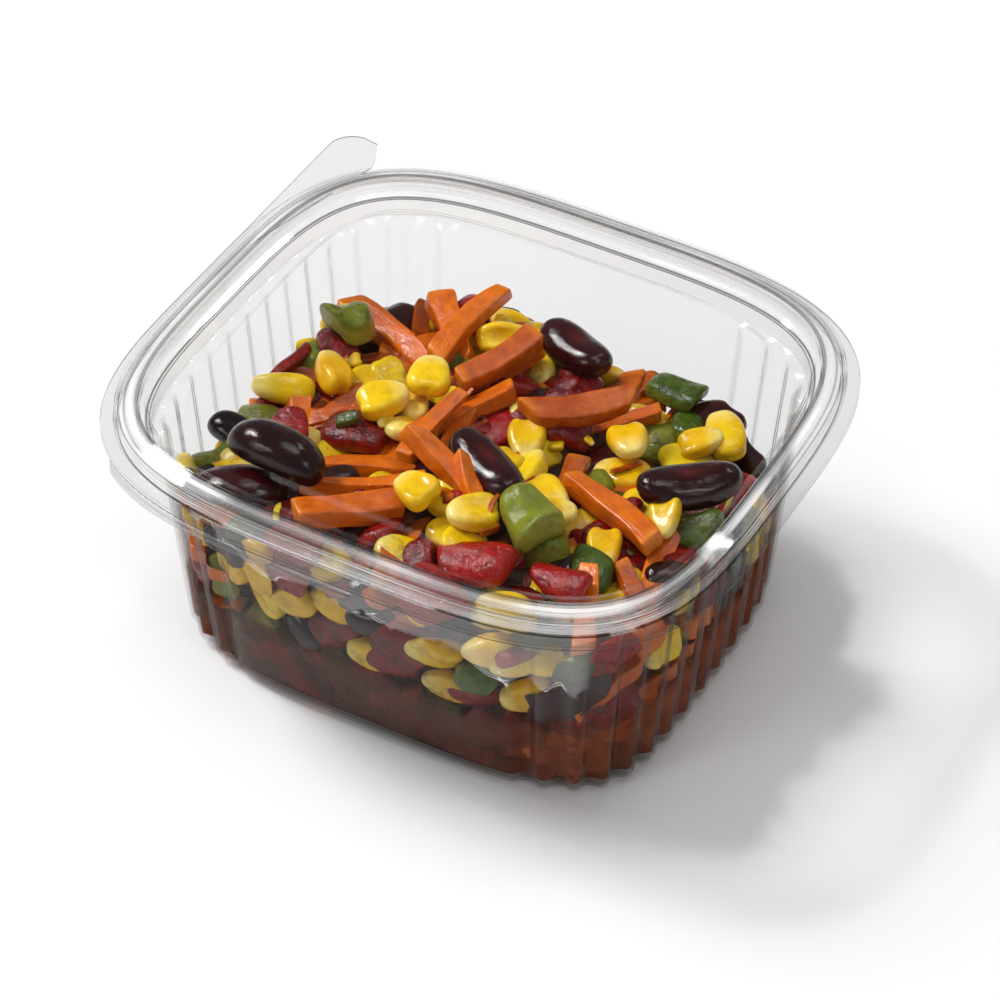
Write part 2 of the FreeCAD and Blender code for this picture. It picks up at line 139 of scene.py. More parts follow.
# grain is the texture's scale in its own length, width and thickness, per metre
foodFinish = {
    "corn": {"deep": rgb(224, 164, 2), "light": rgb(250, 216, 22), "pale": rgb(242, 220, 124),
             "rough": 0.17, "sss": 0.25, "glow": (1.0, 0.5, 0.08),
             "grain": (420, 420, 420), "relief": 0.00022, "streak": 0.3},
    "carrot": {"deep": rgb(164, 62, 4), "light": rgb(232, 116, 12), "pale": rgb(236, 138, 30),
               "rough": 0.18, "sss": 0.0, "glow": (1.0, 0.3, 0.08),
               "grain": (320, 800, 800), "relief": 0.00034, "streak": 0.5},
    "redPepper": {"deep": rgb(66, 2, 3), "light": rgb(156, 10, 6), "pale": rgb(172, 34, 8),
                  "rough": 0.13, "sss": 0.03, "glow": (1.0, 0.12, 0.06),
                  "grain": (600, 600, 600), "relief": 0.0005, "streak": 0.8},
    "greenPepper": {"deep": rgb(34, 48, 10), "light": rgb(84, 108, 22), "pale": rgb(128, 136, 48),
                    "rough": 0.17, "sss": 0.06, "glow": (0.5, 0.8, 0.2),
                    "grain": (600, 600, 600), "relief": 0.0004, "streak": 0.8},
    "celery": {"deep": rgb(82, 92, 14), "light": rgb(138, 146, 34), "pale": rgb(176, 172, 78),
               "rough": 0.19, "sss": 0.12, "glow": (0.6, 0.8, 0.25),
               "grain": (240, 1200, 900), "relief": 0.0004, "streak": 0.6},
    "kidneyBean": {"deep": rgb(16, 2, 4), "light": rgb(50, 5, 10), "pale": rgb(90, 20, 20),
                   "rough": 0.08, "sss": 0.0, "glow": (1.0, 0.2, 0.1),
                   "grain": (420, 900, 900), "relief": 0.00016, "streak": 0.8},
    "blackBean": {"deep": rgb(8, 4, 6), "light": rgb(26, 12, 15), "pale": rgb(58, 38, 36),
                  "rough": 0.09, "sss": 0.0, "glow": (1.0, 0.2, 0.1),
                  "grain": (700, 700, 700), "relief": 0.00012, "streak": 0.6},
}


def foodMaterial(name, finish):
    # shade and the darkening: one number per piece, the darkening being marinade soaking in and
    # painted shade on pieces lying low in the heap; cut: 1 on cut flesh, 0 on skin; own: its own
    # axes
    material, tap = newMaterial(name)
    place = tap.add("ShaderNodeTexCoord", out=3)
    own = tap.add("ShaderNodeAttribute", {"attribute_name": "own"}, out=1)
    grained = tap.add("ShaderNodeVectorMath", {"operation": "MULTIPLY"},
                      {0: own, 1: finish["grain"]})
    shade = attribute(tap, "shade")
    stainAndShade = attribute(tap, "stainAndShade")
    cut = attribute(tap, "cut")
    cloud = noise(tap, own, 300.0, 3.0, 0.6)
    grain = noise(tap, grained, 1.0, 4.0, 0.62)
    speck = noise(tap, own, 1900.0, 2.0, 0.6)
    tone = ((cloud - 0.5) * 1.3 + (grain - 0.5) * finish["streak"] + shade * 0.7 + 0.2).clamped()
    skin = colourMix(tap, tone, finish["deep"], finish["light"])
    flesh = colourMix(tap, (cut * (0.55 + grain * 0.7)).clamped(), skin, finish["pale"])
    smear = noise(tap, place, 330.0, 4.0, 0.65).over(0.50, 0.66) * 0.45
    # darkened towards marinade brown: random smears of marinade, and the per-piece darkening,
    # partly marinade and partly painted shade
    stainedAndShaded = colourMix(tap, (smear * (0.35 + stainAndShade) + stainAndShade * 0.6).clamped(), flesh, marinadeAndShade)
    fleck = colourMix(tap, speck.over(0.68, 0.75) * 0.5, stainedAndShaded, rgb(50, 14, 4))
    height = grain + cloud * 0.8 + speck * 0.12
    shader = tap.add("ShaderNodeBsdfPrincipled", {}, {
        "Base Color": fleck, "Roughness": finish["rough"] * 0.5 + cloud * 0.06 + cut * 0.10,
        "Normal": bump(tap, height, finish["relief"], 0.9), "IOR": 1.45,
        "Subsurface Weight": finish["sss"], "Subsurface Scale": 0.003,
        "Subsurface Radius": finish["glow"]})
    finishShader(tap, shader)
    return material


foodMaterials = {kind: foodMaterial(kind, finish) for kind, finish in foodFinish.items()}
print("food finishes made")


def gridFaces(rows, columns, offset):
    # quads of a closed tube of rings, the ends closed by fans
    faces = []
    for r in range(rows - 1):
        for c in range(columns):
            d = (c + 1) % columns
            faces.append((offset + r * columns + c, offset + r * columns + d,
                          offset + (r + 1) * columns + d, offset + (r + 1) * columns + c))
    faces.append(tuple(offset + c for c in reversed(range(columns))))
    faces.append(tuple(offset + (rows - 1) * columns + c for c in range(columns)))
    return faces


def lump(points, seed, size, amount):
    # slow wobble that makes each piece its own
    phase = np.array([seed * 1.7, seed * 2.9, seed * 4.3])
    p = points / size
    wave = np.sin(p[:, 0] * 2.1 + phase[0]) * np.cos(p[:, 1] * 2.7 + phase[1])
    wave += 0.6 * np.sin(p[:, 2] * 3.3 + p[:, 0] * 1.9 + phase[2])
    wave += 0.35 * np.sin(p[:, 0] * 5.3 + p[:, 1] * 4.1 + phase[1])
    return points * (1 + amount * wave)[:, None]


def ringed(stations, columns, section):
    # rings along X: each station is (x, half width, half thickness, lift in Y, lift in Z)
    out = []
    angles = np.linspace(0, 2 * np.pi, columns, endpoint=False)
    c, s = np.cos(angles), np.sin(angles)
    y = np.sign(c) * np.abs(c) ** section
    z = np.sign(s) * np.abs(s) ** section
    for x, w, t, liftY, liftZ in stations:
        out.append(np.stack([np.full(columns, x), y * w + liftY, z * t + liftZ], 1))
    return np.concatenate(out)


def cornKernel(l, w, t, r):
    # boxy wedge with a plump crown, a crease in it and a ragged narrow tip
    rows, columns = 17, 22
    stations = []
    pinch = r.uniform(0.45, 0.66)
    for i in range(rows):
        x = -math.cos(math.pi * i / (rows - 1))
        reach = x * 0.5 + 0.5
        end = 0.30 if i == 0 else 0.10 if i == rows - 1 else 1.0
        cap = min(1.0, (1 - x * x) ** 0.30 * 1.02) if x < 0 else (1 - x * x) ** 0.42
        cap = max(cap, 0.1) * end
        stations.append((x * l / 2, cap * (pinch + (1 - pinch) * reach ** 0.7) * w / 2,
                         cap * (0.66 + 0.34 * reach) * t / 2, 0, 0))
    points = ringed(stations, columns, 0.66)
    crown = np.clip((points[:, 0] / (l / 2) - 0.2) / 0.8, 0, 1)
    middle = np.exp(-(points[:, 1] / (w * r.uniform(0.14, 0.24))) ** 2)
    points[:, 0] -= crown ** 2 * middle * l * r.uniform(0.03, 0.12)
    dent = np.exp(-((points[:, 0] - l * 0.16) / (l * 0.28)) ** 2) * middle
    points[:, 2] -= np.clip(np.sign(points[:, 2]), 0, 1) * dent * t * r.uniform(0.05, 0.26)
    points = lump(points, r.uniform(0, 9), l * 0.5, 0.05)
    tip = np.clip(0.5 - points[:, 0] / l, 0, 1)
    return points, gridFaces(rows, columns, 0), np.clip((tip - 0.62) / 0.3, 0, 1)


def bean(l, w, t, r, bend=0.16):
    # plump seed bent round its eye
    rows, columns = 17, 18
    stations = []
    for i in range(rows):
        a = math.pi * i / (rows - 1)
        x = -math.cos(a)
        cap = math.sin(a) ** 0.68 if i not in (0, rows - 1) else 0.1
        waist = 1 - 0.09 * math.exp(-(x / 0.4) ** 2)
        stations.append((x * l / 2, cap * waist * w / 2, cap * t / 2,
                         bend * w * (x * x - 0.35), 0))
    points = ringed(stations, columns, 0.95)
    points = lump(points, r.uniform(0, 9), l * 0.5, 0.022)
    eye = np.exp(-(points[:, 0] / (l * 0.13)) ** 2) * (points[:, 1] > 0) * \
        np.exp(-(points[:, 2] / (t * 0.12)) ** 2)
    points[:, 1] -= eye * w * 0.05
    return points, gridFaces(rows, columns, 0), eye * 0.9


def strip(l, w, t, r):
    # hand-cut stick: flat faces, crisp edges, a slight bend, taper and slanted ends
    rows, columns = 18, 20
    stations = []
    bend, bow, taper = r.uniform(-0.05, 0.05) * l, r.uniform(-0.04, 0.04) * l, r.uniform(0, 0.35)
    for i in range(rows):
        x = -1 + 2 * i / (rows - 1)
        edge = {0: 0.86, 1: 0.97, rows - 2: 0.97, rows - 1: 0.86}.get(i, 1.0)
        x = math.copysign(1 - 0.02 * min(i, rows - 1 - i), x) if i in (0, 1, rows - 2, rows - 1) \
            else x
        k = edge * (1 - taper * (0.5 + x * 0.5))
        notch = 1 + 0.06 * math.sin(x * 5 + bend * 900)
        stations.append((x * l / 2, k * notch * w / 2, k * t / 2, bend * (x * x - 0.4),
                         bow * (x * x - 0.4)))
    points = ringed(stations, columns, 0.24)
    slant = r.uniform(-0.7, 0.7)
    points[:, 0] += points[:, 1] * slant * np.sign(points[:, 0]) * (np.abs(points[:, 0]) > l * 0.33)
    skew = r.uniform(-0.35, 0.35)
    points[:, 2] += points[:, 1] * skew
    a = points[:, 0] / l * r.uniform(-0.7, 0.7)
    y, z = points[:, 1].copy(), points[:, 2].copy()
    points[:, 1], points[:, 2] = y * np.cos(a) - z * np.sin(a), y * np.sin(a) + z * np.cos(a)
    points = lump(points, r.uniform(0, 9), w * 1.3, 0.03)
    return points, gridFaces(rows, columns, 0), (np.abs(points[:, 0]) > l * 0.46) * 0.5


def slab(l, w, t, r, curl=0.25, ribs=0.0):
    # cut of pepper or celery wall: curved sheet with a skin side and a flesh side
    count = 22
    radii = []
    squareness = r.uniform(0.45, 0.75)
    phase = [r.uniform(0, 6.28) for _ in range(3)]
    for k in range(count):
        a = 2 * math.pi * k / count
        c, s = math.cos(a), math.sin(a)
        x = math.copysign(abs(c) ** squareness, c)
        y = math.copysign(abs(s) ** squareness, s)
        wob = 1 + 0.10 * math.sin(2 * a + phase[0]) + 0.09 * math.sin(3 * a + phase[1])
        radii.append((x * wob * l / 2, y * wob * w / 2))
    rim = np.array(radii)
    rings = [(-1.0, 0.30), (-1.0, 0.72), (-0.82, 0.95), (-0.35, 1.0), (0.35, 1.0), (0.82, 0.96),
             (1.0, 0.74), (1.0, 0.32)]
    levels = len(rings)
    points = np.concatenate([np.column_stack([rim * share, np.full(count, z * t / 2)])
                             for z, share in rings])
    points[:, 0] += points[:, 2] * r.uniform(-0.5, 0.5)
    lift = curl * w * (0.5 - (points[:, 1] / (w / 2)) ** 2 * 0.5)
    points[:, 2] += lift - lift.mean()
    points[:, 2] += 0.10 * t * np.sin(points[:, 0] / l * 7 + phase[2])
    if ribs:
        points[:, 2] += (points[:, 2] > 0) * ribs * t * np.cos(points[:, 1] / w * 26)
    points = lump(points, r.uniform(0, 9), l * 0.5, 0.03)
    levelOf = np.repeat(np.arange(levels), count)
    return points, gridFaces(levels, count, 0), \
        np.where(levelOf >= levels - 3, 0.0, np.where(levelOf <= 1, 0.8, 0.5))


makers = {
    "corn": cornKernel,
    "carrot": strip,
    "redPepper": lambda l, w, t, r: slab(l, w, t, r, curl=r.uniform(0.1, 0.4)),
    "greenPepper": lambda l, w, t, r: slab(l, w, t, r, curl=r.uniform(0.05, 0.3)),
    "celery": lambda l, w, t, r: slab(l, w, t, r, curl=r.uniform(0.3, 0.5), ribs=0.06),
    "kidneyBean": bean,
    "blackBean": lambda l, w, t, r: bean(l, w, t, r, 0.10),
}
kindOfNode = (("corn", "corn"), ("carrot", "carrot"), ("red_", "redPepper"),
              ("green_", "greenPepper"), ("celery", "celery"), ("kidney", "kidneyBean"),
              ("black", "blackBean"))


class Heaped:
    # gathers pieces of one kind into one mesh
    def __init__(self, name, kind):
        self.name, self.kind = name, kind
        self.points, self.faces = [], []
        self.marks = {"cut": [], "shade": [], "stainAndShade": [], "own": []}
        self.total = 0

    def put(self, size, axes, centre, r, stainAndShade=0.0):
        local, faces, cut = makers[self.kind](*size, r)
        points = insideTub(local @ np.array(axes) + np.array(centre))
        self.points.append(points)
        self.faces += [tuple(self.total + i for i in face) for face in faces]
        self.total += len(points)
        shift = [r.uniform(0, 1) for _ in range(3)]
        for label, value in (("cut", cut), ("shade", np.full(len(points), shift[0])),
                             ("stainAndShade", np.full(len(points), stainAndShade)), ("own", local + shift)):
            self.marks[label].append(value)

    def build(self, replaced=None):
        mesh = bpy.data.meshes.new(self.name)
        mesh.from_pydata(np.concatenate(self.points).tolist(), [], self.faces)
        for label, values in self.marks.items():
            isVector = label == "own"
            layer = mesh.attributes.new(label, "FLOAT_VECTOR" if isVector else "FLOAT", "POINT")
            layer.data.foreach_set("vector" if isVector else "value",
                                   np.concatenate(values).astype(np.float32).ravel())
        mesh.polygons.foreach_set("use_smooth", [True] * len(mesh.polygons))
        mesh.materials.append(foodMaterials[self.kind])
        mesh.update()
        thing = bpy.data.objects.new(self.name, mesh)
        bpy.context.scene.collection.objects.link(thing)
        soft = thing.modifiers.new("soft", "SUBSURF")
        soft.levels = soft.render_levels = 1
        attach(thing, body)
        if replaced:
            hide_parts(replaced)
        return thing


def meshTree(thing):
    mesh = thing.data
    mesh.calc_loop_triangles()
    return BVHTree.FromPolygons([v.co for v in mesh.vertices],
                                [t.vertices for t in mesh.loop_triangles])


tubTree = meshTree(nodes["tub"])
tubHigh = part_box("tub")[1]
wallGap = 0.0006
wallTop = tubHigh.z - 0.0042
beadTop = tubHigh.z
filmLevel = 0.0465
floorTop = 0.00055
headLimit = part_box("lid")[0].z + 0.0008
reachCache = {}


def wallReach(angle, z):
    # distance from the middle to the wall's inner skin, kept on a fine grid
    z = min(max(z, 0.0032), wallTop)
    key = (round(angle / 0.006), round(z / 0.0009))
    if key not in reachCache:
        a = key[0] * 0.006
        hit = tubTree.ray_cast(Vector((0, 0, key[1] * 0.0009)),
                               Vector((math.cos(a), math.sin(a), 0)))
        reachCache[key] = hit[3] if hit[0] is not None else 0.05
    return reachCache[key]


def insideTub(points):
    # presses a piece flat where it meets the wall, the floor or the room left under the lid
    points = points.copy()
    points[:, 2] = np.clip(points[:, 2], floorTop, headLimit)
    far = np.hypot(points[:, 0], points[:, 1])
    for i in np.nonzero(far > 0.026)[0]:
        x, y, z = points[i]
        reach = wallReach(math.atan2(y, x), z) - wallGap - max(0.0, 0.003 - z) * 0.8
        if far[i] > reach:
            points[i, :2] *= reach / far[i]
    return points


def solidsOf(thing):
    # the separate closed solids of a node: centre, three axes and full sizes, longest first
    mesh = thing.data
    places = np.array([v.co for v in mesh.vertices])
    _, first, same = np.unique(np.round(places, 6), axis=0, return_index=True,
                               return_inverse=True)
    same = same.reshape(-1)
    parent = list(range(len(first)))

    def root(i):
        while parent[i] != i:
            parent[i] = parent[parent[i]]
            i = parent[i]
        return i
    for polygon in mesh.polygons:
        corners = [same[v] for v in polygon.vertices]
        for other in corners[1:]:
            parent[root(other)] = root(corners[0])
    groups = {}
    for i in range(len(first)):
        groups.setdefault(root(i), []).append(first[i])
    found = []
    for members in groups.values():
        points = places[members]
        spread = points - points.mean(0)
        values, vectors = np.linalg.eigh(spread.T @ spread)
        axes = vectors.T[::-1].copy()
        local = points @ axes.T
        size = local.max(0) - local.min(0)
        centre = ((local.max(0) + local.min(0)) / 2) @ axes
        flat = local - (local.max(0) + local.min(0)) / 2
        if (flat[:, 0] * flat[:, 1] ** 2).mean() < 0:
            axes[0] *= -1
        if axes[2][2] < 0:
            axes[2] *= -1
        axes[1] = np.cross(axes[2], axes[0])
        found.append((centre, axes, size))
    return found


swell = {"corn": 1.10, "carrot": 1.06, "redPepper": 1.12, "greenPepper": 1.08, "celery": 1.08,
         "kidneyBean": 1.08, "blackBean": 1.08}
placed = 0
foodThings = []
for nodeName in sorted(nodes):
    kind = next((k for start, k in kindOfNode if nodeName.startswith(start)), None)
    if kind is None:
        continue
    heap = Heaped("fresh_" + nodeName, kind)
    for centre, axes, size in solidsOf(nodes[nodeName]):
        heap.put(size * swell[kind], axes, centre, rng)
        placed += 1
    foodThings.append(heap.build(nodeName))
print("top layer", placed, "pieces")


pieceSizes = {"corn": (10.4, 8.6, 5.2), "carrot": (19.0, 4.4, 3.6), "redPepper": (11.0, 8.4, 2.8),
              "greenPepper": (8.8, 6.8, 3.0), "celery": (9.6, 7.4, 4.8),
              "kidneyBean": (17.0, 9.8, 7.8), "blackBean": (9.8, 6.8, 5.6)}
fillers = {kind: Heaped("fill_" + kind, kind) for kind in makers}


def turnedAxes(yaw, pitch, roll):
    turn = Matrix.Rotation(yaw, 3, "Z") @ Matrix.Rotation(pitch, 3, "Y") @ \
        Matrix.Rotation(roll, 3, "X")
    return np.array(turn.transposed())


def putFiller(kind, centre, yaw, pitch, roll, stainAndShade, share=1.0):
    size = np.array(pieceSizes[kind]) * mm * rng.uniform(0.88, 1.12) * share
    fillers[kind].put(size, turnedAxes(yaw, pitch, roll), centre, rng, stainAndShade)


def heapTree(things):
    points, faces = [], []
    for thing in things:
        start = len(points)
        points += [v.co.copy() for v in thing.data.vertices]
        faces += [tuple(start + i for i in p.vertices) for p in thing.data.polygons]
    return BVHTree.FromPolygons(points, faces)


tops = heapTree(foodThings)


def topAt(x, y):
    hit = tops.ray_cast(Vector((x, y, 0.056)), Vector((0, 0, -1)))
    return hit[0].z if hit[0] is not None else 0.0


def besideAt(x, y, radius):
    # mean height of the heap on a small ring round a place
    turn = 0.785
    return sum(topAt(x + radius * math.cos(k * turn), y + radius * math.sin(k * turn))
               for k in range(8)) / 8


fillWeights = (("corn", 0.26), ("carrot", 0.22), ("redPepper", 0.2), ("greenPepper", 0.1),
               ("celery", 0.08), ("blackBean", 0.09), ("kidneyBean", 0.05))


def pick():
    at = rng.uniform(0, 1)
    for kind, weight in fillWeights:
        at -= weight
        if at < 0:
            return kind
    return "corn"


# a filler goes wherever the heap is lower than what lies round it
gaps = {"step": 0.0055, "wall": 0.003, "lowest": 0.012, "hollow": 0.0025}
step = gaps["step"]
grid = {}
for i in range(-10, 11):
    for j in range(-9, 10):
        x, y = i * step, j * step
        if math.hypot(x, y) < wallReach(math.atan2(y, x), 0.035) - gaps["wall"]:
            grid[(i, j)] = topAt(x, y)
for (i, j), top in grid.items():
    around = [grid.get((i + a, j + b), 0) for a in (-2, -1, 0, 1, 2) for b in (-2, -1, 0, 1, 2)]
    around = sorted(v for v in around if v > gaps["lowest"])
    if not around:
        continue
    level = around[int(len(around) * 0.6)]
    if top < level - gaps["hollow"]:
        kind = pick()
        x = i * step + rng.uniform(-0.0015, 0.0015)
        y = j * step + rng.uniform(-0.0015, 0.0015)
        # pieces in the hollows get 0.2 to 0.5 of the darkening: marinade soaking in, and painted
        # shade for lying deep
        putFiller(kind, (x, y, level - rng.uniform(0.0045, 0.0075)), rng.uniform(0, 6.28),
                  rng.uniform(-0.4, 0.4), rng.uniform(-0.5, 0.5), rng.uniform(0.2, 0.5))
# loose pieces that lie in the hollows of the top
toppers = {"pitch": 0.0078, "hollow": 0.0004, "beside": 0.0048, "lift": 0.0016,
           "lowest": 0.015, "size": 0.95}
for i in range(-7, 8):
    for j in range(-6, 7):
        x = (i + rng.uniform(-0.35, 0.35)) * toppers["pitch"]
        y = (j + rng.uniform(-0.35, 0.35)) * toppers["pitch"]
        if math.hypot(x, y) > wallReach(math.atan2(y, x), 0.04) - 0.008:
            continue
        here = topAt(x, y)
        beside = besideAt(x, y, toppers["beside"])
        if toppers["lowest"] < here < beside - toppers["hollow"]:
            kind = rng.choice(("corn", "corn", "corn", "carrot", "redPepper"))
            # pieces lying on top get only 0 to 0.15 of the darkening, the painted shade being
            # slight there
            putFiller(kind, (x, y, here + toppers["lift"]), rng.uniform(0, 6.28),
                      rng.uniform(-0.35, 0.35), rng.uniform(-0.4, 0.4), rng.uniform(0.0, 0.15),
                      toppers["size"])
# small bits, each with a share of its kind's full size
crumbs = {"count": 620, "low": 0.16, "high": 0.46, "beside": 0.0042, "hollow": 0.0003,
          "lowest": 0.012,
          "kinds": ("redPepper", "carrot", "redPepper", "carrot", "redPepper", "greenPepper",
                    "corn")}
for _ in range(crumbs["count"]):
    a, share = rng.uniform(-math.pi, math.pi), math.sqrt(rng.uniform(0, 1)) * 0.93
    reach = wallReach(a, 0.035) * share
    x, y = reach * math.cos(a), reach * math.sin(a)
    z = topAt(x, y)
    if z > besideAt(x, y, crumbs["beside"]) - crumbs["hollow"]:
        continue
    kind = rng.choice(crumbs["kinds"])
    if z > crumbs["lowest"]:
        # crumbs get 0.1 to 0.5 of the darkening, partly marinade and partly painted shade
        putFiller(kind, (x, y, z + rng.uniform(-0.0004, 0.0010)), rng.uniform(0, 6.28),
                  rng.uniform(-0.5, 0.5), rng.uniform(-0.6, 0.6), rng.uniform(0.1, 0.5),
                  rng.uniform(crumbs["low"], crumbs["high"]))
print("gaps filled")

# under is how far the layer stays below the heap's edge
wallLayer = {"rowPitch": 0.0072, "stepAlong": 0.0080, "depth": 0.0030, "lowest": 0.0055,
             "under": 0.0065, "noCarrots": 0.016, "flat": 0.015}


def heapEdge(angle):
    # height of the salad where it meets the wall
    reach = wallReach(angle, 0.034) - 0.007
    x, y = reach * math.cos(angle), reach * math.sin(angle)
    heights = sorted(topAt(x * k, y * k) for k in (1.0, 0.95, 0.9, 0.84))
    return max(heights[2], 0.02)


angle = -math.pi
while angle < math.pi:
    reach = wallReach(angle, 0.03)
    edge = heapEdge(angle)
    z = wallLayer["lowest"] + rng.uniform(0, 0.003)
    while z < edge - wallLayer["under"]:
        a = angle + rng.uniform(-0.3, 0.3) * wallLayer["stepAlong"] / reach
        kind = pick()
        if kind == "carrot" and z > edge - wallLayer["noCarrots"]:
            kind = "corn"
        r = wallReach(a, z) - wallLayer["depth"] + rng.uniform(-0.0008, 0.0014)
        centre = (r * math.cos(a), r * math.sin(a), z)
        # most pieces lie along the wall, with their broad side to it
        yaw = a + math.pi / 2 + rng.uniform(-0.25, 0.25)
        roll = math.pi / 2 + rng.uniform(-0.5, 0.5)
        tilt = 0.7 if z < edge - wallLayer["flat"] else 0.15
        pitch = rng.uniform(-tilt, tilt)
        # darker lower down the wall: marinade soaking in, and painted shade deeper in the heap
        soakAndShade = min(max((0.034 - z) / 0.020, 0.05), 1.0)
        putFiller(kind, centre, yaw, pitch, roll, soakAndShade * rng.uniform(0.3, 0.75))
        z += wallLayer["rowPitch"] * rng.uniform(0.75, 1.2)
    angle += wallLayer["stepAlong"] / reach
for kind, heap in fillers.items():
    if heap.total:
        heap.build()
print("wall layer placed")


def wallRings(levels, gaps, columns=360):
    rings = []
    for z, gap in zip(levels, gaps):
        ring = []
        for k in range(columns):
            a = 2 * math.pi * k / columns - math.pi
            reach = wallReach(a, z) - gap
            ring.append((reach * math.cos(a), reach * math.sin(a), z))
        rings.append(ring)
    return rings


def ringMesh(name, rings):
    columns = len(rings[0])
    mesh = bpy.data.meshes.new(name)
    mesh.from_pydata([p for ring in rings for p in ring], [],
                     gridFaces(len(rings), columns, 0))
    mesh.polygons.foreach_set("use_smooth", [True] * len(mesh.polygons))
    mesh.update()
    thing = bpy.data.objects.new(name, mesh)
    bpy.context.scene.collection.objects.link(thing)
    return thing


def coreMaterial():
    material, tap = newMaterial("packedSalad")
    coords = tap.add("ShaderNodeTexCoord", out=3)
    cloud = noise(tap, coords, 150.0, 5.0, 0.65)
    patch = noise(tap, coords, 320.0, 3.0, 0.6).over(0.54, 0.62)
    # painted shade: the core shows in the crevices between pieces, dark brown partly for the
    # marinade and partly for the shade there
    base = colourMix(tap, cloud.over(0.35, 0.7), rgb(36, 12, 5), rgb(98, 40, 12))
    tint = colourMix(tap, patch * 0.6, base, rgb(150, 62, 12))
    normal = bump(tap, noise(tap, coords, 420.0, 5.0, 0.6), 0.0009)
    shader = tap.add("ShaderNodeBsdfPrincipled", {}, {
        "Base Color": tint, "Roughness": 0.25 + cloud * 0.2, "Normal": normal,
        "IOR": 1.45})
    finishShader(tap, shader)
    return material


dressing = {"level": 0.0195, "gap": 0.00026, "ripple": 0.0007}


def dressingMaterial():
    material, tap = newMaterial("brownDressing")
    coords = tap.add("ShaderNodeTexCoord", out=3)
    cloud = noise(tap, coords, 90.0, 4.0, 0.6)
    across = tap.add("ShaderNodeSeparateXYZ", {}, {0: coords})
    # painted light: the dressing is lighter towards the right, where light would come through its
    # thinner layer
    lit = across.over(0.012, 0.050) * 0.8 + cloud * 0.25
    clear = tap.add("ShaderNodeBsdfTransparent", {}, {"Color": (0.66, 0.28, 0.05, 1)})
    murk = tap.add("ShaderNodeBsdfPrincipled", {}, {
        "Base Color": colourMix(tap, lit.clamped(), rgb(62, 25, 7), rgb(190, 88, 12)),
        "Roughness": 0.12 + cloud * 0.1})
    height = tap.add("ShaderNodeSeparateXYZ", {}, {0: coords}, out=2)
    liquid = tap.add("ShaderNodeMixShader", {}, {0: (cloud - 0.5) * 1.4 + 0.42, 1: clear, 2: murk})
    air = tap.add("ShaderNodeBsdfTransparent", {}, {"Color": (1, 1, 1, 1)})
    fade = (height + (cloud - 0.5) * 0.016).over(dressing["level"] - 0.0048, dressing["level"])
    shader = tap.add("ShaderNodeMixShader", {}, {0: fade, 1: liquid, 2: air})
    finishShader(tap, shader)
    return material


packed = {"levels": (0.0008, 0.003, 0.008, 0.014, 0.020),
          "gaps": (0.006, 0.0045, 0.0045, 0.0045, 0.0045), "columns": 120,
          "edgeUnder": 0.008, "edgeLowest": 0.021, "edgeGap": 0.0055,
          "topUnder": 0.0065, "topLowest": 0.022}
core = wallRings(packed["levels"], packed["gaps"], packed["columns"])
edgeRing = []
for k in range(packed["columns"]):
    a = 2 * math.pi * k / packed["columns"] - math.pi
    z = max(heapEdge(a) - packed["edgeUnder"], packed["edgeLowest"])
    reach = wallReach(a, z) - packed["edgeGap"]
    edgeRing.append((reach * math.cos(a), reach * math.sin(a), z))
core.append(edgeRing)
for share in (0.85, 0.68, 0.5, 0.32, 0.15):
    ring = []
    for x, y, z in edgeRing:
        top = max(topAt(x * share, y * share) - packed["topUnder"], packed["topLowest"])
        ring.append((x * share, y * share, top))
    core.append(ring)
coreThing = ringMesh("packed_salad", core)
coreThing.data.materials.append(coreMaterial())
smooth = coreThing.modifiers.new("soft", "SMOOTH")
smooth.iterations = 6
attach(coreThing, body)
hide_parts("salad_bed")

levels = [0.0008, 0.0018, 0.003, 0.006, 0.009, 0.012, 0.0155]
rings = wallRings(levels, [0.004 + dressing["gap"], 0.0016 + dressing["gap"]] +
                  [dressing["gap"]] * 5)
top = []
for x, y, z in rings[-1]:
    a = math.atan2(y, x)
    z = dressing["level"] + dressing["ripple"] * (math.sin(a * 7) + 0.6 * math.sin(a * 17 + 1))
    reach = wallReach(a, z) - dressing["gap"]
    top.append((reach * math.cos(a), reach * math.sin(a), z))
rings.append(top)
for inset, drop in ((0.0012, 0.0004), (0.004, 0.0006)):
    ring = []
    for x, y, z in top:
        share = 1 - inset / math.hypot(x, y)
        ring.append((x * share, y * share, z - drop))
    rings.append(ring)
dressingThing = ringMesh("dressing", rings)
dressingThing.data.materials.append(dressingMaterial())
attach(dressingThing, body)
print("dressing poured")


# tint is what one skin lets through face on, veil and line what it does towards its folds
# folds are the heights that get painted highlight lines, in millimetres under the top of the bead;
# edges are painted dark outlines, painted shade of the folds: the same drop, half the line's height
# and its strength
sheetLook = {"tint": 0.930, "veil": 0.80, "line": 0.06, "gloss": 0.03, "mirror": 0.006,
             "rimMirror": 0.035, "grazing": 0.5, "glint": 0.46, "paintedFilmHaze": 0.08,
             "folds": (0.52, 1.75, 2.85, 3.62, 7.90),
             "edges": ((4.42, 0.12, 0.75), (0.10, 0.12, 0.55), (1.40, 0.08, 0.45))}
lidLook = {"tint": 0.990, "veil": 0.945, "line": 0.42, "gloss": 0.04, "mirror": 0.003,
           "rimMirror": 0.004, "grazing": 0.15, "glint": 0.16, "paintedFilmHaze": 0.0,
           "folds": (0.30, 2.75), "edges": ((3.80, 0.12, 0.35),)}
stripLook = {"tint": 0.88, "veil": 0.66, "line": 0.20, "gloss": 0.12, "mirror": 0.03,
             "rimMirror": 0.05, "grazing": 0.4, "glint": 0.25, "paintedFilmHaze": 0.0,
             "folds": (4.60, 6.0), "edges": ((5.3, 0.06, 0.5),)}


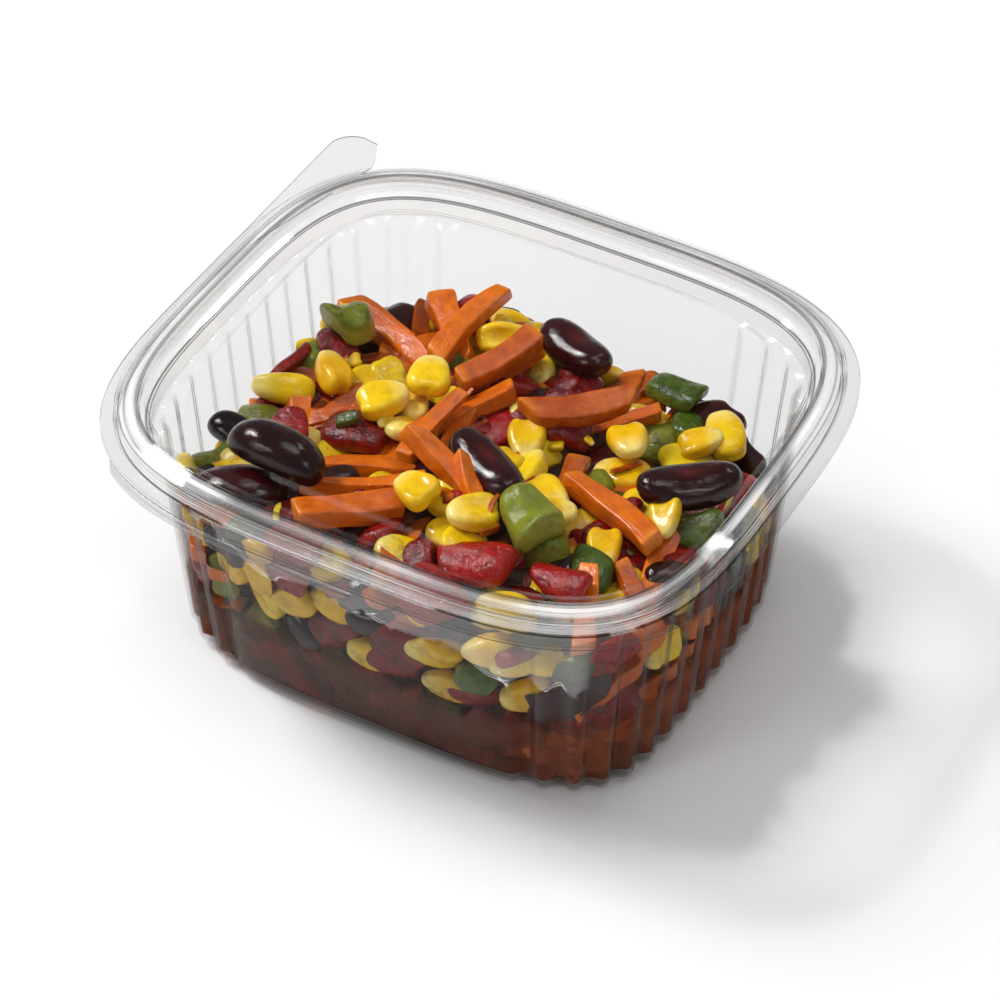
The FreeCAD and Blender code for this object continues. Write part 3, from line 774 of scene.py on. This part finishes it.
def clearSheet(name, look, rimFrom):
    material, tap = newMaterial(name)
    coords = tap.add("ShaderNodeTexCoord", out=3)
    height = tap.add("ShaderNodeSeparateXYZ", {}, {0: coords}, out=2)
    facing = tap.add("ShaderNodeLayerWeight", {}, {"Blend": 0.5}, out=1)
    wave = noise(tap, coords, 60.0, 2.0, 0.5)
    scuff = noise(tap, coords, 900.0, 3.0, 0.7)
    normal = bump(tap, wave, 0.0004, 0.35)
    clear, veil, line = (tap.add("ShaderNodeBsdfTransparent", {}, {"Color": (*[look[k]] * 3, 1)})
                         for k in ("tint", "veil", "line"))
    veiled = tap.add("ShaderNodeMixShader", {}, {0: (facing ** 2.2).clamped(), 1: clear, 2: veil})
    lined = tap.add("ShaderNodeMixShader", {}, {0: facing.over(0.80, 0.97), 1: veiled, 2: line})
    # painted shade: dark outlines at the given heights, where the folds would look dark
    for drop, half, strength in look["edges"]:
        off = tap.maths("ABSOLUTE", height - (beadTop - drop * mm))
        paintedOutline = (1.0 - off.over(half * mm * 0.7, half * mm * 1.3)) * strength
        lined = tap.add("ShaderNodeMixShader", {}, {0: paintedOutline, 1: lined, 2: line})
    gloss = tap.add("ShaderNodeBsdfPrincipled", {}, {
        "Base Color": (1, 1, 1, 1), "Metallic": 1.0, "Roughness": look["gloss"] + scuff * 0.04,
        "Normal": normal})
    # the folds of the rim mirror the lamps more than the flat walls do
    rim = height.over(rimFrom - 0.0004, rimFrom + 0.0004)
    mirror = rim * (look["rimMirror"] - look["mirror"]) + look["mirror"] + \
        facing ** 5.0 * look["grazing"]
    shader = tap.add("ShaderNodeMixShader", {}, {0: mirror.clamped(), 1: lined, 2: gloss})
    # painted highlights: thin white lines that glow, at the heights where the folds would catch the
    # lamps, broken up along the rim
    bright = tap.add("ShaderNodeBsdfPrincipled", {}, {
        "Base Color": (1, 1, 1, 1), "Roughness": 0.3, "Emission Color": (1, 1, 1, 1),
        "Emission Strength": 0.25})
    gleam = 0.0
    for drop in look["folds"]:
        off = tap.maths("ABSOLUTE", height - (beadTop - drop * mm))
        gleam = gleam + (1.0 - off.over(0.00008, 0.00022))
    patch = noise(tap, coords, 38.0, 2.0, 0.5).over(0.40, 0.60) * 0.75 + 0.25
    glinted = gleam.clamped() * patch * look["glint"]
    if look["paintedFilmHaze"]:
        # wet film behind the label panel, shown in painted light: a painted white haze above a wavy
        # painted highlight along its edge
        across = tap.add("ShaderNodeSeparateXYZ", {}, {0: coords})
        depth = tap.add("ShaderNodeSeparateXYZ", {}, {0: coords}, out=1)
        ripple = noise(tap, coords, 85.0, 3.0, 0.6) * 0.020 + \
            noise(tap, coords, 330.0, 2.0) * 0.003
        level = height + ripple + across * 0.10 - filmLevel
        front = (0.0 - depth).over(0.036, 0.040) * (1.0 - height.over(0.0475, 0.0490))
        edge = 1.0 - tap.maths("ABSOLUTE", level).over(0.00006, 0.00026)
        breaks = noise(tap, coords, 120.0, 2.0).over(0.46, 0.54)
        paintedHaze = level.over(0.0, 0.0006) * look["paintedFilmHaze"]
        glinted = glinted + front * (edge * breaks * 0.55 + paintedHaze)
    shader = tap.add("ShaderNodeMixShader", {}, {0: glinted.clamped(), 1: shader, 2: bright})
    finishShader(tap, shader)
    return material


tubSheet = clearSheet("clearTub", sheetLook, wallTop - 0.0045)
lidSheet = clearSheet("clearLid", lidLook, wallTop)
stripSheet = clearSheet("clearStrip", stripLook, wallTop)
for nodeName, material in (("tub", tubSheet), ("hinge_strip", stripSheet), ("lid", lidSheet)):
    thing = nodes[nodeName]
    thing.data.materials.clear()
    thing.data.materials.append(material)


ground = {"half": 4, "drop": 0.0001}
half = ground["half"]
floorMesh = bpy.data.meshes.new("floor")
floorMesh.from_pydata([(-half, -half, 0), (half, -half, 0), (half, half, 0), (-half, half, 0)],
                      [], [(0, 1, 2, 3)])
floor = bpy.data.objects.new("floor", floorMesh)
bpy.context.scene.collection.objects.link(floor)
floor.location.z = -ground["drop"]
floorPaint, floorTap = newMaterial("paleFloor")
floorCoords = floorTap.add("ShaderNodeTexCoord", out=3)
floorTone = colourMix(floorTap, noise(floorTap, floorCoords, 2.0, 2.0), (0.88, 0.88, 0.885, 1),
                      (0.90, 0.90, 0.90, 1))
finishShader(floorTap, floorTap.add("ShaderNodeBsdfPrincipled", {}, {
    "Base Color": floorTone, "Roughness": 0.7, "Specular IOR Level": 0.1}))
floorMesh.materials.append(floorPaint)

studio = {
    "key": {"place": (-2.05, -0.05, 2.30), "size": 1.0, "power": 57.0},
    "spark": {"place": (-1.75, -0.10, 2.50), "size": 0.26, "power": 22.0},
    "spark2": {"place": (0.60, 1.90, 2.40), "size": 0.22, "power": 5.0},
    "top": {"place": (0.30, 0.10, 3.20), "size": 1.4, "power": 16.0},
    "fill": {"place": (1.90, -0.80, 1.8), "size": 0.7, "power": 7.0},
    "front": {"place": (-1.10, -2.0, 1.6), "size": 0.7, "power": 9.0},
}
for lampName, lamp in studio.items():
    data = bpy.data.lights.new(lampName, "AREA")
    data.shape = "SQUARE"
    data.size = lamp["size"]
    data.energy = lamp["power"]
    holder = bpy.data.objects.new(lampName, data)
    bpy.context.scene.collection.objects.link(holder)
    holder.location = lamp["place"]
    aim = Vector((0, 0, 0.03)) - holder.location
    holder.rotation_euler = aim.to_track_quat("-Z", "Y").to_euler()

world = bpy.data.worlds.new("studio")
bpy.context.scene.world = world
world.use_nodes = True
world.node_tree.nodes["Background"].inputs[0].default_value = (1, 1, 1, 1)
world.node_tree.nodes["Background"].inputs[1].default_value = 0.22
bpy.context.scene.view_settings.view_transform = "Standard"
bpy.context.scene.view_settings.exposure = 0.04
bpy.context.scene.cycles.transparent_max_bounces = 48

view = {"azimuth": 28.83, "elevation": 42.42, "roll": 0.47, "distance": 0.65937,
        "shiftX": 0.00313, "shiftY": -0.0219, "height": 0.0553, "lens": 129.95}
az, el, rl = (math.radians(view[k]) for k in ("azimuth", "elevation", "roll"))
back = Vector((math.sin(az) * math.cos(el), -math.cos(az) * math.cos(el), math.sin(el)))
flatRight = Vector((math.cos(az), math.sin(az), 0))
flatUp = back.cross(flatRight)
right = flatRight * math.cos(rl) + flatUp * math.sin(rl)
up = flatUp * math.cos(rl) - flatRight * math.sin(rl)
camera = bpy.data.objects.new("camera", bpy.data.cameras.new("camera"))
bpy.context.scene.collection.objects.link(camera)
camera.data.lens = view["lens"]
camera.data.sensor_width = 36
camera.data.clip_start = 0.01
place = Vector((0, 0, view["height"])) + back * view["distance"] + right * view["shiftX"] + \
    up * view["shiftY"]
camera.matrix_world = Matrix.Translation(place) @ \
    Matrix((right, up, back)).transposed().to_4x4()
bpy.context.scene.camera = camera
print("stage set")
